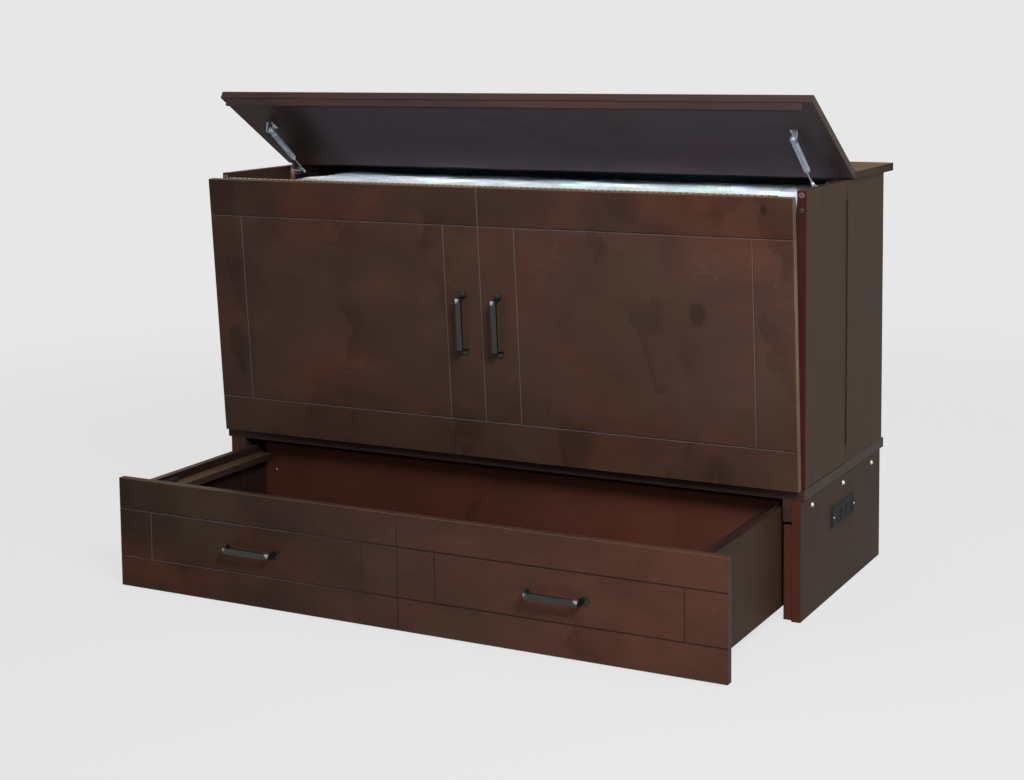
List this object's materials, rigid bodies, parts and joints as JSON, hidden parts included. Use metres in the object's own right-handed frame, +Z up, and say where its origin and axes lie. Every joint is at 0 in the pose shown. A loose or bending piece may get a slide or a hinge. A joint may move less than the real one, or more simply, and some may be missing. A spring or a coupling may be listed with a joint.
{
  "type": "murphy cabinet bed",
  "caption": "Wooden chest bed with a lid on gas struts, side wings, a fold-down front panel, a folded mattress and a rolling drawer.",
  "frame": {"origin": "on the floor, under the middle of the board that closes the back of the base", "axes": "+X to the right along the width, -Y out of the front, +Z up"},
  "size_m": [1.644, 1.1555, 1.2177],
  "materials": {
    "case_wood": "stained satin lacquer",
    "front_wood": "stained satin lacquer, blotched",
    "inner_wood": "stained red-brown satin lacquer",
    "lid_wood": "stained satin lacquer, glossier than the case",
    "trim_wood": "dark stained satin lacquer",
    "top_wood": "stained satin lacquer",
    "black_steel": "satin gunmetal",
    "hinge_steel": "rolled strip",
    "strut_steel": "satin grey",
    "rod_steel": "polished",
    "bracket_steel": "zinc plated",
    "bolt_steel": "bright",
    "outlet_plastic": "fine matt",
    "socket_plastic": "fine matt",
    "guide_nylon": "smooth nylon",
    "catch_plastic": "satin",
    "wheel_rubber": "matt",
    "mattress_fabric": "quilted knit"
  },
  "bodies": {
    "cabinet": {"base_side_left": "case_wood", "base_side_right": "case_wood", "base_liners": "inner_wood", "deck_rails": "trim_wood", "base_back": "inner_wood", "base_bolts": "bolt_steel", "outlet_plate": "outlet_plastic", "outlet_sockets": "socket_plastic", "outlet_screws": "bolt_steel", "deck": "trim_wood", "deck_hinge_leaf": "hinge_steel", "rear_side_left": "case_wood", "rear_side_right": "case_wood", "stiles": "trim_wood", "side_hinge_leaf_left": "hinge_steel", "side_hinge_leaf_right": "hinge_steel", "back_panel": "trim_wood", "fixed_top": "top_wood", "top_hinge_leaf": "hinge_steel", "strut_feet": "bracket_steel", "mattress_front": "mattress_fabric", "mattress_middle": "mattress_fabric", "mattress_rear": "mattress_fabric"},
    "lid": {"lid": "lid_wood", "lid_lip": "trim_wood", "lid_hinge_leaf": "hinge_steel", "strut_heads": "bracket_steel"},
    "strut_tube_left": {"strut_tube_left": "strut_steel"},
    "strut_tube_right": {"strut_tube_right": "strut_steel"},
    "strut_rod_left": {"strut_rod_left": "rod_steel"},
    "strut_rod_right": {"strut_rod_right": "rod_steel"},
    "front_panel": {"front_panel": "front_wood", "panel_hinge_leaf": "hinge_steel", "panel_handle_left": "black_steel", "panel_handle_right": "black_steel", "foot_panel": "case_wood", "panel_foot_hinge_leaf": "hinge_steel", "foot_hinge_leaf": "hinge_steel", "foot_legs": "black_steel"},
    "wing_left": {"wing_left": "case_wood", "wing_hinge_leaf_left": "hinge_steel", "wing_catch_left": "catch_plastic"},
    "wing_right": {"wing_right": "case_wood", "wing_hinge_leaf_right": "hinge_steel", "wing_catch_right": "catch_plastic"},
    "drawer": {"drawer_front": "front_wood", "drawer_side_left": "case_wood", "drawer_side_right": "case_wood", "drawer_back": "inner_wood", "drawer_bottom": "inner_wood", "drawer_ledges": "inner_wood", "drawer_guides": "guide_nylon", "caster_forks": "bracket_steel", "drawer_handle_left": "black_steel", "drawer_handle_right": "black_steel"},
    "wheel_front_left": {"wheel_front_left": "wheel_rubber"},
    "wheel_front_right": {"wheel_front_right": "wheel_rubber"},
    "wheel_rear_left": {"wheel_rear_left": "wheel_rubber"},
    "wheel_rear_right": {"wheel_rear_right": "wheel_rubber"}
  },
  "joints": [
    {"name": "lid_hinge", "type": "hinge", "parent": "cabinet", "child": "lid", "pos_m": [0, -0.2775, 1.023], "axis": [-1, 0, 0], "range_deg": [-32, 28]},
    {"name": "strut_head_left", "type": "hinge", "parent": "lid", "child": "strut_tube_left", "pos_m": [-0.738, -0.48903, 1.11096], "axis": [-1, 0, 0], "range_deg": [-6, 6]},
    {"name": "strut_slide_left", "type": "slide", "parent": "strut_tube_left", "child": "strut_rod_left", "axis": [0, 0.7835, -0.6214], "range_m": [-0.036, 0.032]},
    {"name": "strut_head_right", "type": "hinge", "parent": "lid", "child": "strut_tube_right", "pos_m": [0.738, -0.48903, 1.11096], "axis": [-1, 0, 0], "range_deg": [-6, 6]},
    {"name": "strut_slide_right", "type": "slide", "parent": "strut_tube_right", "child": "strut_rod_right", "axis": [0, 0.7835, -0.6214], "range_m": [-0.036, 0.032]},
    {"name": "front_panel_hinge", "type": "hinge", "parent": "cabinet", "child": "front_panel", "pos_m": [0, -0.6149, 0.313], "axis": [1, 0, 0], "range_deg": [-4.1, 85.9]},
    {"name": "wing_left_hinge", "type": "hinge", "parent": "cabinet", "child": "wing_left", "pos_m": [-0.8134, -0.3099, 0.658], "axis": [0, 0, -1], "range_deg": [0, 95]},
    {"name": "wing_right_hinge", "type": "hinge", "parent": "cabinet", "child": "wing_right", "pos_m": [0.8134, -0.3099, 0.658], "axis": [0, 0, 1], "range_deg": [0, 95]},
    {"name": "drawer_slide", "type": "slide", "parent": "cabinet", "child": "drawer", "axis": [0, 1, 0], "range_m": [0, 0.442]},
    {"name": "wheel_front_left_spin", "type": "hinge", "parent": "drawer", "child": "wheel_front_left", "pos_m": [-0.64, -0.9955, 0.02], "axis": [1, 0, 0], "continuous": true},
    {"name": "wheel_rear_left_spin", "type": "hinge", "parent": "drawer", "child": "wheel_rear_left", "pos_m": [-0.64, -0.5975, 0.02], "axis": [1, 0, 0], "continuous": true},
    {"name": "wheel_front_right_spin", "type": "hinge", "parent": "drawer", "child": "wheel_front_right", "pos_m": [0.64, -0.9955, 0.02], "axis": [1, 0, 0], "continuous": true},
    {"name": "wheel_rear_right_spin", "type": "hinge", "parent": "drawer", "child": "wheel_rear_right", "pos_m": [0.64, -0.5975, 0.02], "axis": [1, 0, 0], "continuous": true}
  ],
  "couplings": [
    {"joint": "strut_head_left", "follows": "lid_hinge", "ratio": 0.103},
    {"joint": "strut_slide_left", "follows": "lid_hinge", "m_per_rad": 0.0599},
    {"joint": "strut_head_right", "follows": "lid_hinge", "ratio": 0.103},
    {"joint": "strut_slide_right", "follows": "lid_hinge", "m_per_rad": 0.0599},
    {"joint": "wheel_front_left_spin", "follows": "drawer_slide", "rad_per_m": -50},
    {"joint": "wheel_front_right_spin", "follows": "drawer_slide", "rad_per_m": -50},
    {"joint": "wheel_rear_left_spin", "follows": "drawer_slide", "rad_per_m": -50},
    {"joint": "wheel_rear_right_spin", "follows": "drawer_slide", "rad_per_m": -50}
  ]
}
